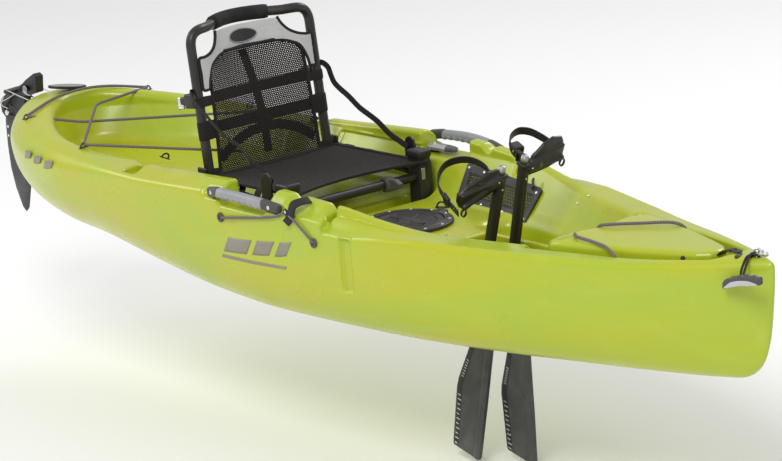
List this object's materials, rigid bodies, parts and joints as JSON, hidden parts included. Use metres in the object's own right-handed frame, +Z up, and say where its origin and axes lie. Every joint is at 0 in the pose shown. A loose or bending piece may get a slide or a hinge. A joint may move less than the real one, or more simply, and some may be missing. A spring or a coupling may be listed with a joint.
{
  "type": "pedal kayak",
  "caption": "Sit-on-top kayak with a hollow moulded hull, folding mesh seat, twin-fin pedal drive, kick-up rudder, deck hatches, bungees and carry handles.",
  "frame": {"origin": "on the keel line, at half the hull's length", "axes": "+X towards the bow, +Y to port, +Z up"},
  "size_m": [3.1259, 0.782, 1.0292],
  "materials": {
    "hull_plastic": "glossy moulded polyethylene",
    "black_plastic": "moulded",
    "dark_grey_plastic": "moulded",
    "grey_grip": "satin",
    "grey_fabric": "woven",
    "black_tube": "satin",
    "mesh_fabric": "open weave",
    "black_rubber": "matt",
    "cord": "braided",
    "steel": "brushed"
  },
  "bodies": {
    "hull": {"hull_shell": "hull_plastic", "drain_plug": "black_plastic", "hatch_hinge_strap": "black_plastic", "centre_hatch_ring": "black_plastic", "drive_spine": "black_plastic", "rudder_bracket": "black_plastic", "steering_base": "black_plastic", "handle_strap_port": "black_plastic", "handle_strap_stbd": "black_plastic", "seat_post_port": "black_plastic", "seat_post_stbd": "black_plastic", "mesh_pocket_port": "black_plastic", "mesh_pocket_stbd": "black_plastic", "recline_strap_port": "black_plastic", "recline_strap_stbd": "black_plastic", "stern_badge": "dark_grey_plastic", "handle_grip_port": "grey_grip", "handle_grip_stbd": "grey_grip", "seat_frame": "black_tube", "seat_sling": "mesh_fabric", "bow_hatch_gasket": "black_rubber", "centre_hatch_seal": "black_rubber", "paddle_hook_port": "black_rubber", "paddle_hook_stbd": "black_rubber", "paddle_bungee_port": "cord", "paddle_bungee_stbd": "cord", "cargo_bungee": "cord", "crank_axle": "steel", "fin_shaft": "steel", "rudder_pin": "steel", "bow_padeye": "steel"},
    "bow_lid": {"bow_hatch_lid": "hull_plastic", "hatch_bungee_port": "cord", "hatch_bungee_stbd": "cord"},
    "floor_hatch": {"centre_hatch_cover": "black_plastic"},
    "crank_arm_stbd": {"crank_stbd": "black_tube"},
    "crank_arm_port": {"crank_port": "black_tube"},
    "foot_pedal_stbd": {"pedal_stbd": "black_plastic", "pedal_strap_stbd": "black_rubber"},
    "foot_pedal_port": {"pedal_port": "black_plastic", "pedal_strap_port": "black_rubber"},
    "fin_arm_rear": {"fin_mast_rear": "steel"},
    "fin_arm_front": {"fin_mast_front": "steel"},
    "fin_leaf_rear": {"fin_rear": "dark_grey_plastic"},
    "fin_leaf_front": {"fin_front": "dark_grey_plastic"},
    "rudder": {"rudder_head": "black_plastic", "blade_bolt": "steel"},
    "blade": {"rudder_blade": "dark_grey_plastic"},
    "steering": {"steering_lever": "steel"},
    "seat_back": {"back_frame": "black_tube", "back_panel": "mesh_fabric", "back_yoke": "grey_fabric", "foam_grip": "black_rubber"},
    "seat_cam": {"seat_lever": "dark_grey_plastic"},
    "lock_port": {"drive_lock_port": "dark_grey_plastic"},
    "lock_stbd": {"drive_lock_stbd": "dark_grey_plastic"},
    "toggle": {"bow_toggle": "dark_grey_plastic", "bow_cord": "black_plastic"}
  },
  "joints": [
    {"name": "bow_lid_open", "type": "hinge", "parent": "hull", "child": "bow_lid", "pos_m": [1.3, 0, 0.316], "axis": [0, 1, 0], "range_deg": [0, 100]},
    {"name": "floor_hatch_turn", "type": "hinge", "parent": "hull", "child": "floor_hatch", "pos_m": [0.14, 0, 0.204], "axis": [0, 0, 1], "range_deg": [0, 90]},
    {"name": "pedal_swing_stbd", "type": "hinge", "parent": "hull", "child": "crank_arm_stbd", "pos_m": [0.47, 0, 0.085], "axis": [0, 1, 0], "range_deg": [-27, 23]},
    {"name": "pedal_swing_port", "type": "hinge", "parent": "hull", "child": "crank_arm_port", "pos_m": [0.47, 0, 0.085], "axis": [0, 1, 0], "range_deg": [-23, 27]},
    {"name": "pedal_tilt_stbd", "type": "hinge", "parent": "crank_arm_stbd", "child": "foot_pedal_stbd", "pos_m": [0.56827, -0.118, 0.38744], "axis": [0, 1, 0], "range_deg": [-30, 30]},
    {"name": "pedal_tilt_port", "type": "hinge", "parent": "crank_arm_port", "child": "foot_pedal_port", "pos_m": [0.54962, 0.118, 0.39287], "axis": [0, 1, 0], "range_deg": [-30, 30]},
    {"name": "fin_sweep_rear", "type": "hinge", "parent": "hull", "child": "fin_arm_rear", "pos_m": [0.445, 0, -0.018], "axis": [1, 0, 0], "range_deg": [-64.4, 75.6]},
    {"name": "fin_sweep_front", "type": "hinge", "parent": "hull", "child": "fin_arm_front", "pos_m": [0.57, 0, -0.018], "axis": [1, 0, 0], "range_deg": [-75.6, 64.4]},
    {"name": "fin_feather_rear", "type": "hinge", "parent": "fin_arm_rear", "child": "fin_leaf_rear", "pos_m": [0.445, 0, -0.018], "axis": [0, -0.225, -0.9744], "range_deg": [-15, 15]},
    {"name": "fin_feather_front", "type": "hinge", "parent": "fin_arm_front", "child": "fin_leaf_front", "pos_m": [0.57, 0, -0.018], "axis": [0, 0, -1], "range_deg": [-15, 15]},
    {"name": "rudder_steer", "type": "hinge", "parent": "hull", "child": "rudder", "pos_m": [-1.484, 0, 0.252], "axis": [0, 0, 1], "range_deg": [-35, 35]},
    {"name": "steering_lever_turn", "type": "hinge", "parent": "hull", "child": "steering", "pos_m": [-0.125, 0.322, 0.298], "axis": [0, 0, 1], "range_deg": [-17.5, 17.5]},
    {"name": "blade_kick_up", "type": "hinge", "parent": "rudder", "child": "blade", "pos_m": [-1.59, 0, 0.262], "axis": [0, 1, 0], "range_deg": [0, 95]},
    {"name": "seat_back_fold", "type": "hinge", "parent": "hull", "child": "seat_back", "pos_m": [-0.414, 0, 0.294], "axis": [0, 1, 0], "range_deg": [-18, 78]},
    {"name": "seat_cam_turn", "type": "hinge", "parent": "hull", "child": "seat_cam", "pos_m": [-0.061, 0.104, 0.25], "axis": [0, 1, 0], "range_deg": [0, 40]},
    {"name": "drive_lock_turn_port", "type": "hinge", "parent": "hull", "child": "lock_port", "pos_m": [0.64, 0.033, 0.132], "axis": [0, 1, 0], "range_deg": [0, 90]},
    {"name": "drive_lock_turn_stbd", "type": "hinge", "parent": "hull", "child": "lock_stbd", "pos_m": [0.64, -0.033, 0.132], "axis": [0, 1, 0], "range_deg": [0, 90]},
    {"name": "toggle_swing", "type": "hinge", "parent": "hull", "child": "toggle", "pos_m": [1.395, 0, 0.329], "axis": [1, 0, 0], "range_deg": [-100, 0]}
  ],
  "couplings": [
    {"joint": "pedal_swing_port", "follows": "pedal_swing_stbd", "ratio": -1},
    {"joint": "fin_sweep_rear", "follows": "pedal_swing_stbd", "ratio": -2.8},
    {"joint": "fin_sweep_front", "follows": "pedal_swing_stbd", "ratio": 2.8},
    {"joint": "steering_lever_turn", "follows": "rudder_steer", "ratio": 0.5}
  ]
}
